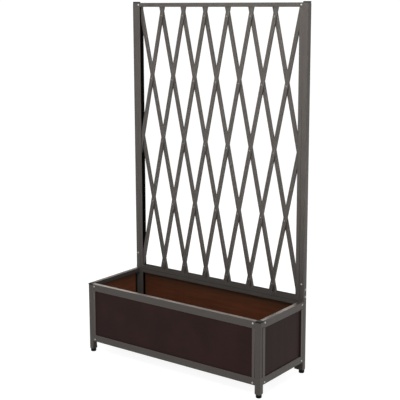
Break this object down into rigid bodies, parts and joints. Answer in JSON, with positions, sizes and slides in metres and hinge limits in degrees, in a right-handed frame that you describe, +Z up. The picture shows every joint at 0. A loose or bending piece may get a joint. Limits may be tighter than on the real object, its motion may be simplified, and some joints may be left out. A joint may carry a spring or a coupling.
{
  "type": "planter with trellis",
  "caption": "Raised dark steel planter box with recessed brown panels, levelling feet and a tall diamond-lattice trellis between two rear posts",
  "frame": {"origin": "on the floor under the middle of the planter", "axes": "+Z up, +X to the right seen from the front, the front at -Y, the trellis along the rear at +Y"},
  "size_m": [0.764, 0.296, 1.287],
  "materials": {
    "frame": "satin powder coat",
    "panel": "satin brown paint",
    "foot": "moulded matte",
    "fastener": "zinc plated"
  },
  "bodies": {
    "planter": {"floor_bars": "frame", "floor_panel": "panel", "frame_bolts": "fastener", "front_bottom_rail": "frame", "front_left_leg": "frame", "front_left_stile": "frame", "front_panel": "panel", "front_right_leg": "frame", "front_right_stile": "frame", "front_top_rail": "frame", "lattice_front_bar_1": "frame", "lattice_front_bar_2": "frame", "lattice_front_bar_3": "frame", "lattice_front_bar_4": "frame", "lattice_front_bar_5": "frame", "lattice_front_bar_6": "frame", "lattice_front_bar_7": "frame", "lattice_front_bar_8": "frame", "lattice_rear_bar_1": "frame", "lattice_rear_bar_2": "frame", "lattice_rear_bar_3": "frame", "lattice_rear_bar_4": "frame", "lattice_rear_bar_5": "frame", "lattice_rear_bar_6": "frame", "lattice_rear_bar_7": "frame", "lattice_rear_bar_8": "frame", "lattice_rivets": "fastener", "left_bottom_rail": "frame", "left_front_stile": "frame", "left_panel": "panel", "left_post": "frame", "left_rear_stile": "frame", "left_top_rail": "frame", "leg_caps": "foot", "leg_inserts": "foot", "post_caps": "foot", "post_screws": "fastener", "post_sleeves": "frame", "rear_bottom_rail": "frame", "rear_left_leg": "frame", "rear_left_stile": "frame", "rear_panel": "panel", "rear_right_leg": "frame", "rear_right_stile": "frame", "rear_top_rail": "frame", "right_bottom_rail": "frame", "right_front_stile": "frame", "right_panel": "panel", "right_post": "frame", "right_rear_stile": "frame", "right_top_rail": "frame", "trellis_bottom_rail": "frame", "trellis_left_stile": "frame", "trellis_right_stile": "frame", "trellis_top_rail": "frame"},
    "front_left_foot_body": {"front_left_foot": "foot"},
    "front_right_foot_body": {"front_right_foot": "foot"},
    "rear_left_foot_body": {"rear_left_foot": "foot"},
    "rear_right_foot_body": {"rear_right_foot": "foot"}
  },
  "joints": [
    {"name": "front_left_foot_level", "type": "slide", "parent": "planter", "child": "front_left_foot_body", "axis": [0, 0, -1], "range_m": [0, 0.01]},
    {"name": "front_right_foot_level", "type": "slide", "parent": "planter", "child": "front_right_foot_body", "axis": [0, 0, -1], "range_m": [0, 0.01]},
    {"name": "rear_left_foot_level", "type": "slide", "parent": "planter", "child": "rear_left_foot_body", "axis": [0, 0, -1], "range_m": [0, 0.01]},
    {"name": "rear_right_foot_level", "type": "slide", "parent": "planter", "child": "rear_right_foot_body", "axis": [0, 0, -1], "range_m": [0, 0.01]}
  ]
}
